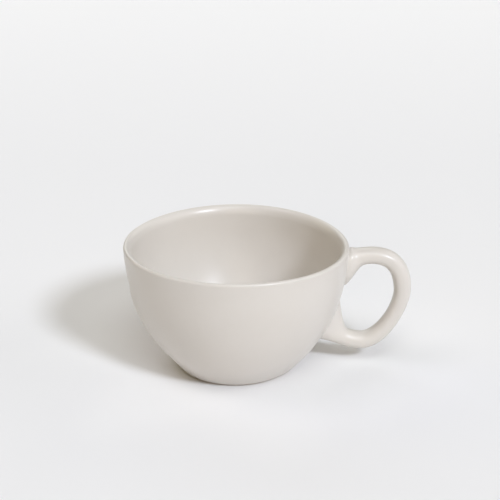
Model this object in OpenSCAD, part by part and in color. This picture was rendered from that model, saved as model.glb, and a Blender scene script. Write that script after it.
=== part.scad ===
// Stoneware cappuccino cup: a round bowl on a low foot ring, with a rolled clay bar bent
// into a loop for a handle and worked onto the wall with a flared root at each end.
// One glaze is poured inside and dipped outside, and the foot is left bare.
// The cup stands on z = 0 and the handle points along +X. The origin is under the middle
// of the overall length, so the bowl's axis lies half the handle's reach behind it.

/* [Bowl] */
// Diameter over the rim
rim_d = 110; // [102:1:118]
// Height from the table to the top of the rim
cup_h = 63.3; // [60:0.1:68]
// Diameter at which the slope of the lower wall meets the table
foot_d = 58; // [54:1:64]
// Height of the corner that the bend of the belly rounds off
belly_z = 26; // [23:0.5:28]
// Radius of the bend of the belly
belly_bend_r = 76; // [64:1:82]
// Outward lean of the upper wall, in degrees from upright
upper_lean = 5.4; // [4:0.1:8]
// Thickness of the wall just under the lip
lip_t = 4.1; // [3.4:0.1:4.6]
// Radius of the lip's outer rounding
lip_r = 1.1; // [0.8:0.1:1.6]
// Height over which the lip rounds off on the inside
lip_fall = 4.8; // [3.5:0.1:6]
// Thickness of the wall round the belly
wall_t = 4; // [3.4:0.1:4.4]
// Thickness of the floor
floor_t = 4; // [3:0.1:5]
// Radius of the bend between the inner wall and the floor
floor_bend_r = 20; // [14:1:24]

/* [Foot ring] */
// Height of the foot ring, which is the depth of the hollow under the cup
foot_ring_h = 3; // [2:0.1:4]
// Width of the flat land that the cup stands on
foot_land_w = 3.4; // [2.5:0.1:5]
// How far the land is set in from the foot diameter
foot_bevel = 1.1; // [0.6:0.1:1.8]
// How far the inner face of the foot ring leans in towards its top
foot_draft = 0.8; // [0.4:0.1:1.4]

/* [Handle] */
// Reach of the handle beyond the rim
handle_reach = 30.8; // [27:0.1:35]
// Thickness of the bar along the top of the loop
bar_top_d = 8.3; // [7.5:0.1:9.5]
// Thickness of the bar at its farthest from the cup
bar_side_d = 7.8; // [7:0.1:9]
// Thickness of the bar along the bottom of the loop
bar_low_d = 8.2; // [7:0.1:9]
// How much wider the bar is across than it is thick
bar_widen = 1.9; // [1:0.1:3]
// How far below the rim the middle of the bar leaves the wall
upper_root_drop = 8.9; // [8:0.1:10]
// Upward slope of the bar as it leaves the wall, in degrees
upper_slope = 19; // [12:1:24]
// Height of the middle of the bar at its farthest from the cup
widest_z = 38.2; // [35:0.1:42]
// Height of the middle of the bar where the loop is lowest
lowest_z = 11.2; // [9:0.1:13]
// How far beyond the rim the loop is lowest
lowest_out = 7.3; // [5:0.1:10]
// Height at which the middle of the bar comes back to the wall
lower_root_z = 17.8; // [16:0.1:20]
// Upward slope of the bar as it comes back to the wall, in degrees
lower_slope = 24; // [16:1:30]

/* [Handle roots] */
// How far the upper root spreads down the wall below the bar
upper_tongue = 8.8; // [7:0.1:11]
// Distance from the wall at which the upper root has lost half its spread
upper_half = 3.4; // [2.6:0.1:4.4]
// Distance from the wall over which the upper root narrows to the bar
upper_fade = 9; // [7:0.1:11]
// Height of plain wall between the tips of the two roots
root_gap = 7.6; // [4:0.1:9]
// Distance from the wall over which the lower root narrows to the bar
lower_fade = 12.4; // [10:0.1:15]
// Height of the plain edge of the lower root where it stands on the wall
lower_edge = 0.8; // [0.3:0.1:1.5]
// How far the upper root spreads to either side of the bar
upper_spread = 2; // [1.2:0.1:3]
// How far the lower root spreads to either side of the bar
lower_spread = 2.2; // [1.5:0.1:3.2]
// How far the upper root spreads up the wall above the bar
upper_back = 1.8; // [1:0.1:2.2]
// How far the lower root spreads down the wall below the bar
lower_back = 0.8; // [0.3:0.1:1.5]

/* [Glaze] */
// Thickness of the glaze coat
glaze_t = 0.3; // [0.2:0.05:0.45]
// Height of the bare clay that is wiped clean at the foot
bare_h = 0.9; // [0.6:0.1:1.4]

/* [Hidden] */
$fn = 96;
clay = [0.80, 0.74, 0.65];
glaze = [0.88, 0.85, 0.81];
// Steps of the drawn curves, and sides of the bar
bend_steps = 22;
lip_steps = 12;
side_count = 24;
top_steps = 16;
side_steps = 13;
low_steps = 11;
// Overrun of the solid that trims the roots, above the rim and below the table
overrun = glaze_t;

// The bowl's outline, as circles and the lines that touch them, in its own radius and height
rim_r = rim_d / 2;
foot_r = foot_d / 2;
lip_c = [rim_r - lip_r, cup_h - lip_r];
lip_in = lip_t - lip_r;
// The upper wall touches the lip's circle, and runs down to the corner at the belly
belly_r = lip_c.x + lip_r / cos(upper_lean) - (lip_c.y - belly_z) * tan(upper_lean);
lower_lean = atan2(belly_r - foot_r, belly_z);
// The bend rounds off that corner, as far as the straight walls on both sides of it allow.
// The upper one is left long enough for the inner wall to thicken up to the lip.
belly_turn = lower_lean - upper_lean;
thickening = max(0, lip_t - wall_t);
lip_room = sqrt(pow(lip_fall, 2) + (2 * belly_bend_r + thickening) * thickening);
upper_side = (lip_c.y - belly_z) / cos(upper_lean) - lip_room;
lower_side = (belly_z - foot_ring_h) / cos(lower_lean);
belly_run = min(belly_bend_r * tan(belly_turn / 2), upper_side, lower_side);
outer_bend_r = belly_run / tan(belly_turn / 2);
belly_c = [belly_r, belly_z]
    - belly_run * [sin(lower_lean), cos(lower_lean)]
    + outer_bend_r * [-cos(lower_lean), sin(lower_lean)];
// The inner wall follows the same bend, then turns into the floor
inner_bend_r = outer_bend_r - wall_t;
floor_z = foot_ring_h + floor_t;
floor_drop = belly_c.y - floor_z - floor_bend_r;
floor_c = [belly_c.x + sqrt(pow(inner_bend_r - floor_bend_r, 2) - pow(floor_drop, 2)),
           floor_z + floor_bend_r];
floor_lean = atan2(floor_drop, floor_c.x - belly_c.x);
lip_span = lip_c - belly_c;
inner_lean = acos((inner_bend_r + lip_in) / norm(lip_span)) - atan2(lip_span.y, lip_span.x);
land_r = foot_r - foot_bevel;

function arc(c, r, from, to, steps) =
    [for (i = [0:steps]) let(a = from + (to - from) * i / steps) c + r * [cos(a), sin(a)]];

// A point on the lower slope at a height, that much inside the glazed surface
function slope_point(z, inset) = [foot_r + z * tan(lower_lean) - inset / cos(lower_lean), z];

// The outside from a height on the lower slope up to the crest of the lip
function outside(z, inset) = concat(
    [slope_point(z, inset)],
    arc(belly_c, outer_bend_r - inset, -lower_lean, -upper_lean, bend_steps),
    arc(lip_c, lip_r - inset, -upper_lean, 90, lip_steps));

// Radius of the straight inner wall under the lip at a height
function inner_r(z, inset) = lip_c.x
    + ((z - lip_c.y) * sin(inner_lean) - lip_in + inset) / cos(inner_lean);

// The long soft bend from the crest of the lip into the inner wall
function lip_inside(inset) = let(crest_w = lip_c.x - inner_r(cup_h - inset, inset))
    [for (i = [0:lip_steps]) let(
        a = 90 * i / lip_steps,
        z = cup_h - lip_fall + (lip_fall - inset) * cos(a))
        [inner_r(z, inset) + crest_w * (1 - sin(a)), z]];

// The inside from the crest of the lip down to the middle of the floor
function inside(inset) = concat(
    lip_inside(inset),
    arc(belly_c, inner_bend_r + inset, -inner_lean, -floor_lean, bend_steps),
    arc(floor_c, floor_bend_r + inset, -floor_lean, -90, lip_steps),
    [[0, floor_z - inset]]);

function backwards(list) = [for (i = [len(list) - 1:-1:0]) list[i]];

function drop_first(list) = [for (i = [1:len(list) - 1]) list[i]];

// Lean and radius of the glazed wall at a height
function wall_lean(z) =
    z > belly_c.y - outer_bend_r * sin(upper_lean) ? upper_lean
    : z < belly_c.y - outer_bend_r * sin(lower_lean) ? lower_lean
    : asin((belly_c.y - z) / outer_bend_r);
function wall_r(z) = let(a = wall_lean(z))
    belly_c.x + (outer_bend_r + (z - belly_c.y) * sin(a)) / cos(a);

// The handle's middle line, in the same radius and height
upper_root_z = cup_h - upper_root_drop;
upper_point = [wall_r(upper_root_z), upper_root_z];
widest_point = [rim_r + handle_reach - bar_side_d / 2, widest_z];
lowest_point = [rim_r + lowest_out, lowest_z];
lower_point = [wall_r(lower_root_z), lower_root_z];
// How far each bend is pulled along its end directions, as shares of its span
top_pull_shares = [0.79, 0.83];
side_pull_shares = [0.32, 0.53];
low_pull_shares = [0.36, 0.37];
top_span = widest_point - upper_point;
side_span = widest_point - lowest_point;
low_span = lowest_point - lower_point;
upper_way = [cos(upper_slope), sin(upper_slope)];
lower_way = [-cos(lower_slope), sin(lower_slope)];
// The bar is drawn from this far inside the wall's face, and the wall trims it
root_sink = wall_t + lower_spread;

function bend(a, b, c, d, t) =
    pow(1 - t, 3) * a + 3 * pow(1 - t, 2) * t * b + 3 * (1 - t) * t * t * c + pow(t, 3) * d;

path = concat(
    [upper_point - root_sink * upper_way],
    [for (i = [0:top_steps - 1]) bend(upper_point,
        upper_point + top_pull_shares[0] * top_span.x * upper_way,
        widest_point - [0, top_pull_shares[1] * top_span.y],
        widest_point, i / top_steps)],
    [for (i = [0:side_steps - 1]) bend(widest_point,
        widest_point - [0, side_pull_shares[0] * side_span.y],
        lowest_point + [side_pull_shares[1] * side_span.x, 0],
        lowest_point, i / side_steps)],
    [for (i = [0:low_steps]) bend(lowest_point,
        lowest_point - [low_pull_shares[0] * low_span.x, 0],
        lower_point - low_pull_shares[1] * low_span.x * lower_way,
        lower_point, i / low_steps)],
    [lower_point + root_sink * lower_way]);
last = len(path) - 1;
widest_i = 1 + top_steps;
lowest_i = widest_i + side_steps;

// Length along the path up to each of its points
runs = [for (i = 0, s = 0; i <= last;
             s = s + (i < last ? norm(path[i + 1] - path[i]) : 0), i = i + 1) s];
upper_runs = [for (s = runs) max(0, s - runs[1])];
lower_runs = [for (s = runs) max(0, runs[last - 1] - s)];
// The roots end, and the plain bar begins, at the first points past the fades
upper_end = min([for (i = [1:last]) if (upper_runs[i] >= upper_fade) i]);
lower_end = max([for (i = [1:last]) if (lower_runs[i] >= lower_fade) i]);

// The roots fall from 1 at the wall to 0 at the end of the fade. The upper root ends on the
// wall in a blunt lip, and the lower one feathers out above a thin edge.
upper_power = 3.6;
lower_power = 1.45;
function blunt(run) = 1 / (1 + pow(run / upper_half, upper_power));
function upper_fall(i) =
    max(0, (blunt(upper_runs[i]) - blunt(upper_fade)) / (1 - blunt(upper_fade)));
function lower_fall(i) =
    let(share = max(0, lower_runs[i] - lower_edge) / (lower_fade - lower_edge))
    pow(max(0, 1 - share), lower_power);
// Each root lies along the wall's lean at the middle of its tongue, and the lower one spreads
// up the wall to the gap below the upper one's tip
upper_root_lean = wall_lean(upper_root_z - upper_tongue / 2);
upper_tip_z = upper_root_z - (bar_top_d / 2 + upper_tongue) * cos(upper_root_lean);
lower_tip_z = upper_tip_z - root_gap;
lower_root_lean = wall_lean((lower_root_z + lower_tip_z) / 2);
lower_tongue = (lower_tip_z - lower_root_z) / cos(lower_root_lean) - bar_low_d / 2;

function unit(v) = v / norm(v);

function mix(a, b, t) = a + (b - a) * (1 - cos(180 * t)) / 2;

function bar_r(i) = (i <= widest_i
    ? mix(bar_top_d, bar_side_d, runs[i] / runs[widest_i])
    : mix(bar_side_d, bar_low_d,
          min(1, (runs[i] - runs[widest_i]) / (runs[lowest_i] - runs[widest_i])))) / 2;

// Direction across the bar towards the inside of the loop. At the wall it runs along the wall.
function inward(i) = let(
    way = unit(path[min(last, i + 1)] - path[max(0, i - 1)]),
    up = upper_fall(i),
    low = lower_fall(i))
    unit((1 - up - low) * [way.y, -way.x]
         - up * [sin(upper_root_lean), cos(upper_root_lean)]
         + low * [sin(lower_root_lean), cos(lower_root_lean)]);

// Powers of a section's cosines and sines: 1 gives an oval, less a squarer section and more
// a pointed one. The lower root comes to a point up the wall.
bar_power = 0.85;
point_power = 1.7;
function shaped(c, power) = sign(c) * pow(abs(c), power);

// One ring of points round the bar, egg-shaped at the roots
function ring(i, inset) = let(
    up = upper_fall(i),
    low = lower_fall(i),
    n = inward(i),
    r = bar_r(i) - inset,
    front = r + upper_tongue * up + lower_tongue * low,
    back = r + upper_back * up + lower_back * low,
    side = r + bar_widen / 2 + upper_spread * up + lower_spread * low)
    [for (k = [0:side_count - 1]) let(
        a = 360 * k / side_count,
        power = bar_power + (cos(a) > 0 ? (point_power - bar_power) * low : 0),
        across = shaped(cos(a), power) * (cos(a) > 0 ? front : back))
        [path[i].x + n.x * across, side * shaped(sin(a), power), path[i].y + n.y * across]];

function rings(from, to, inset) = [for (i = [from:to]) each ring(i, inset)];

// Two triangles between neighbouring rings, at one step of one ring
function patch(first, row, k) = let(
    a = first + row * side_count + k,
    b = first + row * side_count + (k + 1) % side_count)
    [[a, a + side_count, b], [b, a + side_count, b + side_count]];

function skin(first, rows) =
    [for (row = [0:rows - 1], k = [0:side_count - 1]) each patch(first, row, k)];

function flipped(faces) = [for (f = faces) backwards(f)];

function cap(first) =
    [for (k = [1:side_count - 2]) [first, first + k, first + k + 1]];

function collar(first, second) = [for (k = [0:side_count - 1]) let(n = (k + 1) % side_count)
    each [[first + k, first + n, second + k], [first + n, second + n, second + k]]];

// The solid bar between two points of the path
module bar(from, to, inset) {
    rows = to - from;
    polyhedron(
        points = rings(from, to, inset),
        faces = concat(skin(0, rows), cap(0), flipped(cap(rows * side_count))),
        convexity = 4);
}

// The coat on the bar from end to end
module bar_coat() {
    rows = last;
    inner_first = (rows + 1) * side_count;
    polyhedron(
        points = concat(rings(0, last, 0), rings(0, last, glaze_t)),
        faces = concat(skin(0, rows), flipped(skin(inner_first, rows)),
                       collar(0, inner_first),
                       flipped(collar(rows * side_count, inner_first + rows * side_count))),
        convexity = 6);
}

// Everything within the outside of the wall, which trims what is set against it
module wall_filling(inset) {
    rotate_extrude()
        polygon(concat(
            [[0, -overrun], slope_point(-overrun, inset)],
            outside(0, inset),
            [[lip_c.x, cup_h + overrun], [0, cup_h + overrun]]));
}

module on_axis() {
    translate([-handle_reach / 2, 0, 0])
        children();
}

// The thrown clay wall and floor
module bowl() {
    color(clay)
        on_axis()
            rotate_extrude()
                polygon(concat(
                    [[0, foot_ring_h]],
                    outside(foot_ring_h, glaze_t),
                    drop_first(inside(glaze_t))));
}

// The low ring that the cup stands on, with a bare bevelled edge
module foot_ring() {
    color(clay)
        on_axis()
            rotate_extrude()
                polygon([
                    [land_r - foot_land_w, 0],
                    [land_r, 0],
                    slope_point(bare_h, glaze_t),
                    slope_point(foot_ring_h, glaze_t),
                    [land_r - foot_land_w - foot_draft, foot_ring_h]]);
}

// The flared root under the rim
module upper_root() {
    color(clay)
        on_axis()
            difference() {
                bar(0, upper_end, glaze_t);
                wall_filling(glaze_t);
            }
}

// The bar between its two roots
module handle() {
    color(clay)
        on_axis()
            bar(upper_end, lower_end, glaze_t);
}

// The flared root low on the wall
module lower_root() {
    color(clay)
        on_axis()
            difference() {
                bar(lower_end, last, glaze_t);
                wall_filling(glaze_t);
            }
}

// The coat poured inside, up to the crest of the lip
module inner_glaze() {
    color(glaze)
        on_axis()
            rotate_extrude()
                polygon(concat(inside(0), backwards(inside(glaze_t))));
}

// The coat dipped outside, from the bare foot to the crest of the lip, open at the roots
module outer_glaze() {
    color(glaze)
        on_axis()
            difference() {
                rotate_extrude()
                    polygon(concat(outside(bare_h, 0), backwards(outside(bare_h, glaze_t))));
                bar(0, upper_end, 0);
                bar(lower_end, last, 0);
            }
}

// The same coat where it covers the bar and its roots
module handle_glaze() {
    color(glaze)
        on_axis()
            difference() {
                bar_coat();
                wall_filling(glaze_t);
            }
}

bowl();
foot_ring();
upper_root();
handle();
lower_root();
inner_glaze();
outer_glaze();
handle_glaze();
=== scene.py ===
import math

import bmesh
import bpy
from mathutils import Matrix, Vector, noise


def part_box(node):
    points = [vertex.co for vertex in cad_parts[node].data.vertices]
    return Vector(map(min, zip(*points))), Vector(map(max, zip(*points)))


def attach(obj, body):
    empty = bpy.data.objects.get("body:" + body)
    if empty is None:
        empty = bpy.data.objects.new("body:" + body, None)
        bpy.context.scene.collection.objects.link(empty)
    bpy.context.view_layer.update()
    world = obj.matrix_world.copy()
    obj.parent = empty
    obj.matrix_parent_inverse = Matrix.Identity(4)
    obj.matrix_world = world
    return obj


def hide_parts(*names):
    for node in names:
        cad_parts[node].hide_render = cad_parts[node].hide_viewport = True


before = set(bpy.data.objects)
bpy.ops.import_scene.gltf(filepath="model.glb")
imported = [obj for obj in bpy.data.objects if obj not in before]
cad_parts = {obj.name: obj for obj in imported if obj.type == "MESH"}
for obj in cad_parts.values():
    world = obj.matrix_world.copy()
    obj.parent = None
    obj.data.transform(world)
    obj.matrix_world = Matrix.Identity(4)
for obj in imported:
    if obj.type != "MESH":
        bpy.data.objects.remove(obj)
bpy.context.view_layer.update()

# Sizes are in metres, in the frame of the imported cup.
MM = 0.001
BODY = "root"

# The bowl
CUP_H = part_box("outer_glaze")[1][2]
FOOT_RING_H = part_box("foot_ring")[1][2]
FLOOR_T = 4 * MM
FLOOR_Z = FOOT_RING_H + FLOOR_T
GLAZE_T = 0.3 * MM
RIM_R = 55 * MM
FOOT_R = 29 * MM
BELLY_Z = 26 * MM
BELLY_BEND_R = 76 * MM
UPPER_LEAN = math.radians(5.4)
# The lip's outer rounding, the wall just under it, and the height of its inner rounding
LIP_R = 1.1 * MM
LIP_T = 4.1 * MM
LIP_FALL = 4.8 * MM
WALL_T = 4 * MM
FLOOR_BEND_R = 20 * MM
LAND_R = 27.9 * MM
LAND_W = 3.4 * MM
FOOT_DRAFT = 0.8 * MM
# Radius of the rounding on both edges of the land, and where the outer one ends
LAND_EDGE_R = 0.35 * MM
LAND_EDGE_END = -math.pi / 5
BARE_H = 0.9 * MM
# The two coats meet this far down inside the lip
SEAM_DROP = 4.3 * MM

# The handle's middle line and bar
HANDLE_REACH = 30.8 * MM
# The bowl's axis lies this far along X from the middle of the whole cup
AXIS_X = -HANDLE_REACH / 2
BAR_TOP_R = 4.15 * MM
BAR_SIDE_R = 3.9 * MM
BAR_LOW_R = 4.1 * MM
BAR_WIDEN = 1.9 * MM
# Makes the section squarer than a plain oval
BAR_POWER = 0.85
# Brings the sides of the lower root to a point up the wall
POINT_POWER = 1.7
UPPER_ROOT_Z = CUP_H - 8.9 * MM
UPPER_SLOPE = math.radians(19)
WIDEST_Z = 38.2 * MM
LOWEST_Z = 11.2 * MM
LOWEST_OUT = 7.3 * MM
LOWER_ROOT_Z = 17.8 * MM
LOWER_SLOPE = math.radians(24)
TOP_PULL_SHARES = (0.79, 0.83)
SIDE_PULL_SHARES = (0.32, 0.53)
LOW_PULL_SHARES = (0.36, 0.37)

# The roots of the handle
UPPER_TONGUE = 8.8 * MM
UPPER_HALF = 3.4 * MM
UPPER_FADE = 9 * MM
ROOT_GAP = 7.6 * MM
LOWER_FADE = 12.4 * MM
LOWER_EDGE = 0.8 * MM
UPPER_POWER = 3.6
LOWER_POWER = 1.45
UPPER_SPREAD = 2 * MM
LOWER_SPREAD = 2.2 * MM
UPPER_BACK = 1.8 * MM
LOWER_BACK = 0.8 * MM
# Radii of the glaze that fills the corners between the roots and the wall
UPPER_FILLET_R = 0.6 * MM
LOWER_FILLET_R = 1.6 * MM
# Over this distance a root's rings bend round to follow the wall
HUG = 5 * MM
# A root ends this far under the wall's surface
ROOT_SINK = 0.05 * MM

# Fineness of the meshes
ROUND_STEPS = 288
BEND_STEPS = 56
LIP_STEPS = 14
LINE_STEPS = 14
FOOT_STEPS = 6
HOLLOW_STEPS = 4
PATH_STEPS = 200
BAR_SIDES = 56
BAR_STEP = 0.9 * MM
# The bar's steps shrink to this share towards the wall, as if they began this far out of it
WALL_STEP_SHARE = 0.06
WALL_STEP_START = 0.1 * MM
# Points nearer to each other than this are one point
SAME_PLACE = GLAZE_T / 1000
# Edges that bend more than this are shaded sharp
SHARP_BEND = math.radians(50)


# The bowl's outline in its own radius and height
lip_c = Vector((RIM_R - LIP_R, CUP_H - LIP_R))
belly_r = lip_c.x + LIP_R / math.cos(UPPER_LEAN) - (lip_c.y - BELLY_Z) * math.tan(UPPER_LEAN)
lower_lean = math.atan2(belly_r - FOOT_R, BELLY_Z)
belly_run = BELLY_BEND_R * math.tan((lower_lean - UPPER_LEAN) / 2)
belly_c = (Vector((belly_r, BELLY_Z))
           - belly_run * Vector((math.sin(lower_lean), math.cos(lower_lean)))
           + BELLY_BEND_R * Vector((-math.cos(lower_lean), math.sin(lower_lean))))
inner_bend_r = BELLY_BEND_R - WALL_T
floor_drop = belly_c.y - FLOOR_Z - FLOOR_BEND_R
floor_c = Vector((belly_c.x + math.sqrt((inner_bend_r - FLOOR_BEND_R) ** 2 - floor_drop ** 2),
                  FLOOR_Z + FLOOR_BEND_R))
floor_lean = math.atan2(floor_drop, floor_c.x - belly_c.x)
lip_span = lip_c - belly_c
inner_lean = (math.acos((inner_bend_r + LIP_T - LIP_R) / lip_span.length)
              - math.atan2(lip_span.y, lip_span.x))


def turn(angle):
    return Vector((math.cos(angle), math.sin(angle)))


def arc(centre, radius, start, end, steps):
    """Points of an arc, both ends included."""
    return [centre + radius * turn(start + (end - start) * i / steps) for i in range(steps + 1)]


def line(start, end, steps):
    """Points along a line, without its last one."""
    return [start.lerp(end, i / steps) for i in range(steps)]


def slope_point(z, inset):
    return Vector((FOOT_R + z * math.tan(lower_lean) - inset / math.cos(lower_lean), z))


def outside_line(z, inset):
    """The outside from a height on the lower slope up to the crest of the lip."""
    belly = arc(belly_c, BELLY_BEND_R - inset, -lower_lean, -UPPER_LEAN, BEND_STEPS)
    lip = arc(lip_c, LIP_R - inset, -UPPER_LEAN, math.pi / 2, LIP_STEPS)
    return (line(slope_point(z, inset), belly[0], LINE_STEPS) + belly[:-1]
            + line(belly[-1], lip[0], LINE_STEPS) + lip)


def inner_r(z, inset):
    """Radius of the straight inner wall under the lip at a height."""
    drop = (z - lip_c.y) * math.sin(inner_lean)
    return lip_c.x + (drop - LIP_T + LIP_R + inset) / math.cos(inner_lean)


def lip_inside(inset):
    """The long soft bend from the crest of the lip into the inner wall."""
    crest_w = lip_c.x - inner_r(CUP_H - inset, inset)
    points = []
    for i in range(2 * LIP_STEPS + 1):
        a = math.pi / 2 * i / (2 * LIP_STEPS)
        z = CUP_H - LIP_FALL + (LIP_FALL - inset) * math.cos(a)
        points.append(Vector((inner_r(z, inset) + crest_w * (1 - math.sin(a)), z)))
    return points


def inside_line(inset):
    """The inside from the crest of the lip down to the middle of the floor."""
    lip = lip_inside(inset)
    belly = arc(belly_c, inner_bend_r + inset, -inner_lean, -floor_lean, BEND_STEPS)
    bend = arc(floor_c, FLOOR_BEND_R + inset, -floor_lean, -math.pi / 2, BEND_STEPS // 2)
    middle = Vector((0, FLOOR_Z - inset))
    return (lip[:-1] + line(lip[-1], belly[0], LINE_STEPS) + belly[:-1] + bend[:-1]
            + line(bend[-1], middle, LINE_STEPS) + [middle])


def wall_lean(z):
    if z > belly_c.y - BELLY_BEND_R * math.sin(UPPER_LEAN):
        return UPPER_LEAN
    if z < belly_c.y - BELLY_BEND_R * math.sin(lower_lean):
        return lower_lean
    return math.asin((belly_c.y - z) / BELLY_BEND_R)


def wall_r(z):
    lean = wall_lean(z)
    return belly_c.x + (BELLY_BEND_R + (z - belly_c.y) * math.sin(lean)) / math.cos(lean)


# The unevenness that the hands left in the clay

# Swells of the wall: angle in degrees from +X, height, half width round, half height, depth
SWELLS = [
    (184, 57 * MM, 20 * MM, 5 * MM, 0.20 * MM),
    (186, 45 * MM, 14 * MM, 5 * MM, -0.40 * MM),
    (189, 36 * MM, 14 * MM, 5 * MM, 0.42 * MM),
    (196, 18 * MM, 16 * MM, 7 * MM, -0.15 * MM),
    (205, 8 * MM, 14 * MM, 6 * MM, -0.65 * MM),
    (238, 3 * MM, 12 * MM, 7 * MM, 0.18 * MM),
    (235, 45 * MM, 11 * MM, 11 * MM, -0.50 * MM),
    (232, 12 * MM, 14 * MM, 9 * MM, 0.40 * MM),
    (304, 3 * MM, 10 * MM, 7 * MM, -0.28 * MM),
    (336, 6 * MM, 11 * MM, 8 * MM, 0.45 * MM),
]
# The rim stands this much higher than a true one on the whole
RIM_RISE = 0.10 * MM
# Waves of the rim: how many go round it, angle of a crest in degrees from +X, half height
RIM_WAVES = [
    (1, -108.4, 0.89 * MM),
    (2, 85.1, 0.46 * MM),
    (3, -48.1, 0.10 * MM),
]
RIPPLE_SIZE = 17 * MM
RIPPLE = 0.16 * MM


def smooth(share):
    share = min(1.0, max(0.0, share))
    return share * share * (3 - 2 * share)


def swell(angle, z):
    """How far the wall stands out from a true round at a place."""
    out = 0.0
    for degrees, height, wide, tall, depth in SWELLS:
        apart = math.remainder(angle - math.radians(degrees), math.tau) * wall_r(height)
        out += depth * math.exp(-(apart / wide) ** 2 - ((z - height) / tall) ** 2)
    place = Vector((math.cos(angle), math.sin(angle), z / RIM_R)) * (RIM_R / RIPPLE_SIZE)
    return out + RIPPLE * noise.noise(place) * smooth(z / BELLY_Z)


def rim_rise(angle, z):
    rise = RIM_RISE
    for waves, degrees, height in RIM_WAVES:
        rise += height * math.cos(waves * (angle - math.radians(degrees)))
    return rise * smooth((z - BELLY_Z) / (CUP_H - BELLY_Z))


def work_by_hand(verts):
    """Moves true-round points about the bowl's axis to where the hands left them."""
    for v in verts:
        angle = math.atan2(v.co.y, v.co.x)
        r = math.hypot(v.co.x, v.co.y)
        share = smooth(r / FOOT_R)
        r += swell(angle, v.co.z) * share
        rise = rim_rise(angle, v.co.z) * share
        v.co = Vector((r * math.cos(angle), r * math.sin(angle), v.co.z + rise))


# Pieces

def finish_piece(bm, name, replaced, material):
    """Turns a mesh about the bowl's axis into a finished piece in the cup's frame."""
    bmesh.ops.translate(bm, verts=bm.verts, vec=(AXIS_X, 0, 0))
    bmesh.ops.recalc_face_normals(bm, faces=bm.faces)
    mesh = bpy.data.meshes.new(name)
    bm.to_mesh(mesh)
    bm.free()
    for face in mesh.polygons:
        face.use_smooth = True
    mesh.materials.append(material)
    piece = bpy.data.objects.new(name, mesh)
    bpy.context.collection.objects.link(piece)
    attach(piece, BODY)
    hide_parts(*replaced)
    return piece


def turned(outline, closed):
    """A mesh turned on the bowl's axis from an outline of radius and height."""
    bm = bmesh.new()
    verts = [bm.verts.new((p.x, 0, p.y)) for p in outline]
    pairs = list(zip(verts, verts[1:]))
    if closed:
        pairs.append((verts[-1], verts[0]))
    edges = [bm.edges.new(pair) for pair in pairs]
    bmesh.ops.spin(bm, geom=verts + edges, cent=(0, 0, 0), axis=(0, 0, 1),
                   angle=math.tau, steps=ROUND_STEPS, use_merge=True)
    bmesh.ops.remove_doubles(bm, verts=bm.verts, dist=SAME_PLACE)
    work_by_hand(bm.verts)
    return bm


def sharpen_ends(piece):
    """Keeps the thin ends of a coat from bending the shading of its faces."""
    piece.data.set_sharp_from_angle(angle=SHARP_BEND)


def seam_split(inset):
    """The inside outline in two, at the seam between the coats."""
    points = inside_line(inset)
    split = next(i for i, p in enumerate(points) if p.y < CUP_H - SEAM_DROP)
    return points[:split + 1], points[split:]


def make_outer_glaze(material):
    upper, upper_back = seam_split(0)[0], seam_split(GLAZE_T)[0]
    front = outside_line(BARE_H, 0) + upper[1:]
    back = outside_line(BARE_H, GLAZE_T) + upper_back[1:]
    bm = turned(front + back[::-1], closed=True)
    piece = finish_piece(bm, "outer_glaze_coat", ["outer_glaze"], material)
    sharpen_ends(piece)
    return piece


def make_inner_glaze(material):
    front, back = seam_split(0)[1], seam_split(GLAZE_T)[1]
    bm = turned(front[::-1] + back, closed=False)
    piece = finish_piece(bm, "inner_glaze_coat", ["inner_glaze"], material)
    sharpen_ends(piece)
    return piece


def make_bowl(material):
    outline = ([Vector((0, FOOT_RING_H))] + outside_line(FOOT_RING_H, GLAZE_T)
               + inside_line(GLAZE_T)[1:])
    return finish_piece(turned(outline, closed=False), "clay_bowl", ["bowl"], material)


def make_foot_ring(material):
    edge = LAND_EDGE_R
    hollow_r = LAND_R - LAND_W
    hollow_top = Vector((hollow_r - FOOT_DRAFT, FOOT_RING_H))
    glaze_edge = slope_point(BARE_H, GLAZE_T)
    slope_top = slope_point(FOOT_RING_H, GLAZE_T)
    outline = (line(hollow_top, Vector((hollow_r, edge)), HOLLOW_STEPS)
               + arc(Vector((hollow_r + edge, edge)), edge, math.pi, 1.5 * math.pi, FOOT_STEPS)
               + arc(Vector((LAND_R - edge, edge)), edge, -math.pi / 2, LAND_EDGE_END, FOOT_STEPS)
               + line(glaze_edge, slope_top, FOOT_STEPS) + [slope_top])
    bm = turned(outline, closed=True)
    piece = finish_piece(bm, "clay_foot_ring", ["foot_ring"], material)
    sharpen_ends(piece)
    return piece


# The handle's middle line, in the same radius and height

def bend(a, b, c, d, t):
    return (1 - t) ** 3 * a + 3 * (1 - t) ** 2 * t * b + 3 * (1 - t) * t * t * c + t ** 3 * d


upper_point = Vector((wall_r(UPPER_ROOT_Z), UPPER_ROOT_Z))
widest_point = Vector((RIM_R + HANDLE_REACH - BAR_SIDE_R, WIDEST_Z))
lowest_point = Vector((RIM_R + LOWEST_OUT, LOWEST_Z))
lower_point = Vector((wall_r(LOWER_ROOT_Z), LOWER_ROOT_Z))
top_span = widest_point - upper_point
side_span = widest_point - lowest_point
low_span = lowest_point - lower_point
upper_way = turn(UPPER_SLOPE)
lower_way = turn(math.pi - LOWER_SLOPE)
BENDS = [
    (upper_point, upper_point + TOP_PULL_SHARES[0] * top_span.x * upper_way,
     widest_point - Vector((0, TOP_PULL_SHARES[1] * top_span.y)), widest_point),
    (widest_point, widest_point - Vector((0, SIDE_PULL_SHARES[0] * side_span.y)),
     lowest_point + Vector((SIDE_PULL_SHARES[1] * side_span.x, 0)), lowest_point),
    (lowest_point, lowest_point - Vector((LOW_PULL_SHARES[0] * low_span.x, 0)),
     lower_point - LOW_PULL_SHARES[1] * low_span.x * lower_way, lower_point),
]
path = [bend(*points, i / PATH_STEPS) for points in BENDS for i in range(PATH_STEPS)]
path.append(lower_point)
runs = [0.0]
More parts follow.
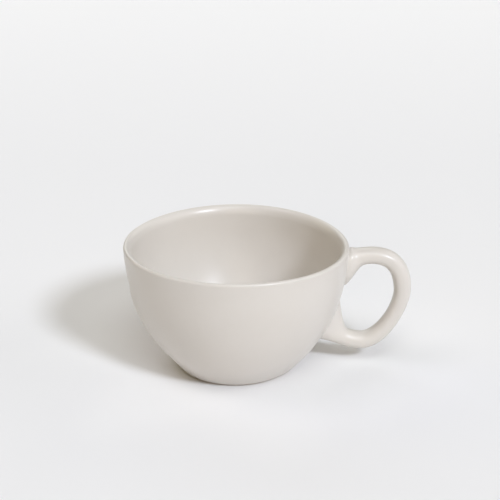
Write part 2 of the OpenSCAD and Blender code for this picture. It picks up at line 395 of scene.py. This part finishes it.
for a, b in zip(path, path[1:]):
    runs.append(runs[-1] + (b - a).length)
bar_length = runs[-1]
widest_run = runs[PATH_STEPS]
lowest_run = runs[2 * PATH_STEPS]


def on_path(run):
    """The place on the middle line that far along it, and the way that it goes there."""
    i = next((i for i, r in enumerate(runs) if r >= run), len(runs) - 1)
    i = max(1, i)
    share = (run - runs[i - 1]) / (runs[i] - runs[i - 1])
    after, before = min(len(path) - 1, i + 1), max(0, i - 2)
    return path[i - 1].lerp(path[i], share), (path[after] - path[before]).normalized()


def ease(a, b, share):
    return a + (b - a) * (1 - math.cos(math.pi * min(1.0, max(0.0, share)))) / 2


def bar_r(run):
    if run < widest_run:
        return ease(BAR_TOP_R, BAR_SIDE_R, run / widest_run)
    return ease(BAR_SIDE_R, BAR_LOW_R, (run - widest_run) / (lowest_run - widest_run))


def blunt(run):
    return 1 / (1 + (run / UPPER_HALF) ** UPPER_POWER)


def upper_fall(run):
    return max(0.0, (blunt(run) - blunt(UPPER_FADE)) / (1 - blunt(UPPER_FADE)))


def lower_fall(run):
    share = max(0.0, bar_length - run - LOWER_EDGE) / (LOWER_FADE - LOWER_EDGE)
    return max(0.0, 1 - share) ** LOWER_POWER


upper_root_lean = wall_lean(UPPER_ROOT_Z - UPPER_TONGUE / 2)
upper_tip_z = UPPER_ROOT_Z - (BAR_TOP_R + UPPER_TONGUE) * math.cos(upper_root_lean)
lower_tip_z = upper_tip_z - ROOT_GAP
lower_root_lean = wall_lean((LOWER_ROOT_Z + lower_tip_z) / 2)
lower_tongue = (lower_tip_z - LOWER_ROOT_Z) / math.cos(lower_root_lean) - BAR_LOW_R


def fillet(near, radius):
    """How far the glaze runs out along the wall, that near to it."""
    if near >= radius:
        return 0.0
    return radius - math.sqrt(radius ** 2 - (radius - near) ** 2)


def shaped(c, power):
    return math.copysign(abs(c) ** power, c)


# How the rolled bar wanders to the sides, and how its thickness varies
BAR_WANDER = 0.12 * MM
BAR_VARY_SHARE = 0.01
BAR_WAVE = 24 * MM
# Where in the noise each of the two is read
VARY_ROW = (4, 0)
WANDER_ROW = (9, 3)
# Swells of the bar: share of the way along it, half length, change of radius
BAR_SWELLS = [
    (0.15, 10 * MM, -0.18 * MM),
    (0.33, 12 * MM, 0.50 * MM),
    (0.60, 10 * MM, -0.18 * MM),
]


def ring_points(run, inset):
    """One ring of points round the bar, about the bowl's axis."""
    middle, way = on_path(run)
    up, low = upper_fall(run), lower_fall(run)
    inward = ((1 - up - low) * Vector((way.y, -way.x))
              - up * Vector((math.sin(upper_root_lean), math.cos(upper_root_lean)))
              + low * Vector((math.sin(lower_root_lean), math.cos(lower_root_lean))))
    inward.normalize()
    near = min(run, bar_length - run)
    plain = 1 - smooth(1 - near / HUG)
    vary = BAR_VARY_SHARE * noise.noise(Vector((run / BAR_WAVE, *VARY_ROW)))
    r = bar_r(run) * (1 + vary * plain)
    for share, long, change in BAR_SWELLS:
        r += change * math.exp(-((run - share * bar_length) / long) ** 2) * plain
    wander = BAR_WANDER * noise.noise(Vector((run / BAR_WAVE, *WANDER_ROW))) * plain
    fill = fillet(near, UPPER_FILLET_R if run < widest_run else LOWER_FILLET_R)
    r += fill - inset
    front = r + UPPER_TONGUE * up + lower_tongue * low
    back = r + UPPER_BACK * up + LOWER_BACK * low
    side = r + BAR_WIDEN / 2 + UPPER_SPREAD * up + LOWER_SPREAD * low
    taper = BAR_POWER + (POINT_POWER - BAR_POWER) * low
    points = []
    for k in range(BAR_SIDES):
        a = math.tau * k / BAR_SIDES
        power = taper if math.cos(a) > 0 else BAR_POWER
        across = shaped(math.cos(a), power) * (front if math.cos(a) > 0 else back)
        x = middle.x + inward.x * across
        y = side * shaped(math.sin(a), power) + wander
        z = middle.y + inward.y * across
        points.append(against_wall(x, y, z, near, 1 - plain, inset))
    return points


def against_wall(x, y, z, near, hug, inset):
    """Bends a point of a root round to the wall, the more the nearer it is."""
    angle = math.atan2(y, x)
    r = math.hypot(x, y)
    face = wall_r(z) + swell(angle, z) - ROOT_SINK - inset
    r += hug * (face + near - r)
    return Vector((r * math.cos(angle), r * math.sin(angle), z + hug * rim_rise(angle, z)))


def step_along(near):
    """The step from ring to ring of the bar, that near to the wall."""
    return BAR_STEP * (WALL_STEP_SHARE + (1 - WALL_STEP_SHARE) * smooth(near / HUG))


def stations(start, end):
    """Runs along the bar, closer together towards the wall."""
    out = [start]
    while out[-1] < end:
        near = max(0.0, min(out[-1], bar_length - out[-1]))
        step = step_along(near + WALL_STEP_START)
        if end - out[-1] < HUG:
            step = min(step, step_along(bar_length - out[-1]))
        out.append(min(end, out[-1] + step))
    return out


def swept(loops, closed):
    """A mesh drawn ring by ring from a circle's edge."""
    bm = bmesh.new()
    bmesh.ops.create_circle(bm, segments=BAR_SIDES, radius=BAR_TOP_R)
    ring = sorted(bm.verts, key=lambda v: math.atan2(v.co.y, v.co.x) % math.tau)
    edges = list(bm.edges)
    for v, place in zip(ring, loops[0]):
        v.co = place
    for loop in loops[1:]:
        made = bmesh.ops.extrude_edge_only(bm, edges=edges)["geom"]
        edges = [e for e in made if isinstance(e, bmesh.types.BMEdge)]
        ring = [next(e.other_vert(v) for e in v.link_edges
                     if e.other_vert(v) in made) for v in ring]
        for v, place in zip(ring, loop):
            v.co = place
    ends = [e for e in bm.edges if e.is_boundary]
    if closed:
        bmesh.ops.bridge_loops(bm, edges=ends)
    else:
        bmesh.ops.holes_fill(bm, edges=ends, sides=0)
    return bm


upper_root_end = UPPER_FADE
lower_root_end = bar_length - LOWER_FADE


def make_handle_glaze(material):
    outer = [ring_points(run, 0) for run in stations(0, bar_length)]
    under = [ring_points(run, GLAZE_T) for run in stations(0, bar_length)]
    bm = swept(outer + under[::-1], closed=True)
    piece = finish_piece(bm, "handle_glaze_coat", ["handle_glaze"], material)
    sharpen_ends(piece)
    return piece


def make_bar(name, node, start, end, material):
    loops = [ring_points(run, GLAZE_T) for run in stations(start, end)]
    piece = finish_piece(swept(loops, closed=False), name, [node], material)
    sharpen_ends(piece)
    return piece


# Materials

class Number:
    """A number that varies over a surface, so that shader maths reads as plain sums."""

    def __init__(self, finish, socket):
        self.finish = finish
        self.socket = socket

    def _sum(self, operation, first, second):
        node = self.finish.add("ShaderNodeMath", {"operation": operation}, {0: first, 1: second})
        return Number(self.finish, node.outputs[0])

    def __add__(self, other):
        return self._sum("ADD", self, other)

    def __radd__(self, other):
        return self._sum("ADD", other, self)

    def __mul__(self, other):
        return self._sum("MULTIPLY", self, other)

    def __rmul__(self, other):
        return self._sum("MULTIPLY", other, self)


class Finish:
    """A material and the nodes that make it."""

    def __init__(self, name):
        self.material = bpy.data.materials.new(name)
        self.material.use_nodes = True
        self.tree = self.material.node_tree
        self.tree.nodes.clear()
        place = self.add("ShaderNodeTexCoord")
        self.place = place.outputs["Object"]

    def add(self, kind, settings=None, sockets=None):
        """Adds a node: its own settings first, then the values or links of its sockets."""
        node = self.tree.nodes.new(kind)
        for name, value in (settings or {}).items():
            if name == "stops":
                self.set_stops(node.color_ramp, value)
            else:
                setattr(node, name, value)
        for key, value in (sockets or {}).items():
            if isinstance(value, Number):
                value = value.socket
            if isinstance(value, bpy.types.NodeSocket):
                self.tree.links.new(value, node.inputs[key])
            else:
                node.inputs[key].default_value = value
        return node

    def set_stops(self, ramp, stops):
        while len(ramp.elements) < len(stops):
            ramp.elements.new(1.0)
        for element, (position, shade) in zip(ramp.elements, stops):
            element.position = position
            element.color = (shade, shade, shade, 1)

    def noise(self, size, detail=2.0, roughness=0.5):
        """Noise from 0 to 1 whose lumps are about that size."""
        node = self.add("ShaderNodeTexNoise", {},
                        {"Vector": self.place, "Scale": 1 / size, "Detail": detail,
                         "Roughness": roughness})
        return Number(self, node.outputs["Fac"])

    def ramp(self, number, stops):
        node = self.add("ShaderNodeValToRGB", {"stops": stops}, {"Fac": number})
        return Number(self, node.outputs["Color"])

    def mixed(self, share, first, second):
        """A colour between two, by a share that varies."""
        node = self.add("ShaderNodeMix", {"data_type": "RGBA"},
                        {"Factor": share, 6: first, 7: second})
        return node.outputs[2]

    def surface(self, sockets):
        shader = self.add("ShaderNodeBsdfPrincipled", {}, sockets)
        self.add("ShaderNodeOutputMaterial", {}, {"Surface": shader.outputs[0]})
        return self.material


GLAZE_PALE = (0.69, 0.655, 0.612, 1)
GLAZE_DEEP = (0.65, 0.610, 0.562, 1)
GLAZE_SPECK = (0.52, 0.455, 0.385, 1)
# Clouds and mottle change the glaze's tone, and a few specks of clay show through it
CLOUD_SIZE = 26 * MM
MOTTLE_SIZE = 3.5 * MM
SPECK_SIZE = 0.9 * MM
CLOUD_SHARE = 0.7
MOTTLE_SHARE = 0.3
SPECK_SHARE = 0.04
SPECK_STOPS = [(0.0, 0.0), (0.70, 0.0), (0.80, 1.0), (1.0, 1.0)]
# The glaze pools a little thicker here and there, and has a slight orange peel
POOL_SIZE = 9 * MM
PEEL_SIZE = 1.6 * MM
POOL_HEIGHT = 1.8
PEEL_HEIGHT = 0.12
GLAZE_BUMP = 0.1 * MM
GLAZE_BUMP_STRENGTH = 0.25
GLAZE_ROUGHNESS = 0.29
GLAZE_ROUGHNESS_CHANGE = 0.03
GLAZE_IOR = 1.5
CLAY_PALE = (0.60, 0.50, 0.38, 1)
CLAY_DARK = (0.44, 0.34, 0.235, 1)
GRAIN_SIZE = 0.5 * MM
PATCH_SIZE = 8 * MM
GRAIN_SHARE = 0.6
PATCH_SHARE = 0.4
GRAIN_BUMP = 0.15 * MM
GRAIN_BUMP_STRENGTH = 0.6
CLAY_ROUGHNESS = 0.82
CLAY_ROUGHNESS_CHANGE = 0.1


def glaze_finish():
    f = Finish("satin_glaze")
    cloud = f.noise(CLOUD_SIZE, detail=3.0)
    mottle = f.noise(MOTTLE_SIZE, detail=4.0, roughness=0.6)
    speck = f.ramp(f.noise(SPECK_SIZE, detail=1.0), SPECK_STOPS)
    tone = f.mixed(cloud * CLOUD_SHARE + mottle * MOTTLE_SHARE, GLAZE_PALE, GLAZE_DEEP)
    colour = f.mixed(speck * SPECK_SHARE, tone, GLAZE_SPECK)
    peel = f.noise(PEEL_SIZE, detail=2.0)
    pool = f.noise(POOL_SIZE, detail=2.0)
    bump = f.add("ShaderNodeBump", {}, {
        "Strength": GLAZE_BUMP_STRENGTH,
        "Distance": GLAZE_BUMP,
        "Height": pool * POOL_HEIGHT + peel * PEEL_HEIGHT,
    })
    return f.surface({
        "Base Color": colour,
        "Roughness": GLAZE_ROUGHNESS + GLAZE_ROUGHNESS_CHANGE * cloud,
        "Normal": bump.outputs[0],
        "IOR": GLAZE_IOR,
    })


def clay_finish():
    f = Finish("bare_stoneware")
    grain = f.noise(GRAIN_SIZE, detail=4.0, roughness=0.7)
    patch = f.noise(PATCH_SIZE, detail=2.0)
    colour = f.mixed(grain * GRAIN_SHARE + patch * PATCH_SHARE, CLAY_PALE, CLAY_DARK)
    bump = f.add("ShaderNodeBump", {}, {
        "Strength": GRAIN_BUMP_STRENGTH,
        "Distance": GRAIN_BUMP,
        "Height": grain,
    })
    return f.surface({
        "Base Color": colour,
        "Roughness": CLAY_ROUGHNESS + CLAY_ROUGHNESS_CHANGE * patch,
        "Normal": bump.outputs[0],
    })


glaze = glaze_finish()
clay = clay_finish()
make_bowl(clay)
make_foot_ring(clay)
make_outer_glaze(glaze)
make_inner_glaze(glaze)
make_handle_glaze(glaze)
make_bar("clay_upper_root", "upper_root", 0, upper_root_end, clay)
make_bar("clay_handle", "handle", upper_root_end, lower_root_end, clay)
make_bar("clay_lower_root", "lower_root", lower_root_end, bar_length, clay)


# The floor, the light and the camera

FLOOR_SIZE = 12.0
FLOOR_NEAR = (0.845, 0.845, 0.855, 1)
# Painted light: the far floor's colour, paler for the brighter light there
FLOOR_FAR_PAINTED_LIGHT = (0.915, 0.915, 0.92, 1)
FLOOR_ROUGHNESS = 0.9
# Painted light: the floor's colour pales between these distances behind the cup, standing in for
# the brighter light on the far floor
PAINTED_LIGHT_FROM = 0.30
PAINTED_LIGHT_TO = 0.80
# Lamps: turn to the right of the camera's side, rise over the floor, spread, strength, colour
LAMPS = [
    ("key_lamp", 38, 38, 11, 1.95, (0.85, 0.90, 1.00)),
    ("front_lamp", -8, 20, 40, 0.57, (1.00, 0.85, 0.66)),
    ("left_lamp", -115, 30, 40, 0.36, (1.00, 0.89, 0.51)),
    ("right_lamp", 85, 25, 40, 0.51, (1.00, 0.96, 0.91)),
    ("right_back_lamp", 140, 30, 40, 0.42, (1.00, 0.95, 0.82)),
    ("left_back_lamp", -165, 30, 40, 0.53, (0.99, 1.00, 0.99)),
    ("front_top_lamp", 10, 62, 30, 0.73, (0.96, 1.00, 0.97)),
    ("left_top_lamp", -80, 62, 30, 0.52, (0.97, 0.92, 1.00)),
]


def make_floor():
    bm = bmesh.new()
    bmesh.ops.create_grid(bm, x_segments=1, y_segments=1, size=FLOOR_SIZE / 2)
    mesh = bpy.data.meshes.new("floor")
    bm.to_mesh(mesh)
    bm.free()
    f = Finish("pale_floor")
    across = f.add("ShaderNodeSeparateXYZ", {}, {0: f.place})
    # Painted light: the floor's colour pales behind the cup
    painted_light_share = f.add("ShaderNodeMapRange", {}, {"Value": across.outputs[1], "From Min": PAINTED_LIGHT_FROM,
                                            "From Max": PAINTED_LIGHT_TO})
    colour = f.mixed(painted_light_share.outputs[0], FLOOR_NEAR, FLOOR_FAR_PAINTED_LIGHT)
    mesh.materials.append(f.surface({"Base Color": colour, "Roughness": FLOOR_ROUGHNESS}))
    floor = bpy.data.objects.new("floor", mesh)
    bpy.context.collection.objects.link(floor)


def make_lamp(name, turned_by, rise, spread, strength, colour):
    """A soft lamp as even as the sun's light."""
    lamp = bpy.data.lights.new(name, "SUN")
    lamp.angle = math.radians(spread)
    lamp.energy = strength
    lamp.color = colour
    obj = bpy.data.objects.new(name, lamp)
    obj.rotation_euler = (math.radians(90 - rise), 0, math.radians(turned_by))
    bpy.context.collection.objects.link(obj)


def make_dark_studio():
    """A world that adds no light of its own to the lamps."""
    world = bpy.data.worlds.new("studio")
    world.use_nodes = True
    world.node_tree.nodes["Background"].inputs["Strength"].default_value = 0
    bpy.context.scene.world = world


# The camera's place relative to the bowl's axis, its dip and its roll, found from the outlines
CAMERA_PLACE = Vector((6.9 * MM, -627.8 * MM, 316.3 * MM))
CAMERA_DIP = math.radians(22.279)
CAMERA_ROLL = math.radians(0.128)
# The lens and the width of the sensor behind it, in millimetres
CAMERA_LENS = 100
CAMERA_SENSOR = 36
# Half a pixel of the 500, by which the picture's middle is off
CAMERA_SHIFT = 0.5 / 500


def make_camera():
    data = bpy.data.cameras.new("camera")
    data.lens = CAMERA_LENS
    data.sensor_width = CAMERA_SENSOR
    data.shift_x = -CAMERA_SHIFT
    data.shift_y = CAMERA_SHIFT
    camera = bpy.data.objects.new("camera", data)
    camera.location = CAMERA_PLACE + Vector((AXIS_X, 0, 0))
    tip = Matrix.Rotation(math.pi / 2 - CAMERA_DIP, 4, "X")
    roll = Matrix.Rotation(CAMERA_ROLL, 4, "Z")
    camera.rotation_euler = (tip @ roll).to_euler()
    bpy.context.collection.objects.link(camera)
    bpy.context.scene.camera = camera


make_floor()
for lamp_values in LAMPS:
    make_lamp(*lamp_values)
make_dark_studio()
make_camera()
bpy.context.scene.view_settings.view_transform = "Standard"
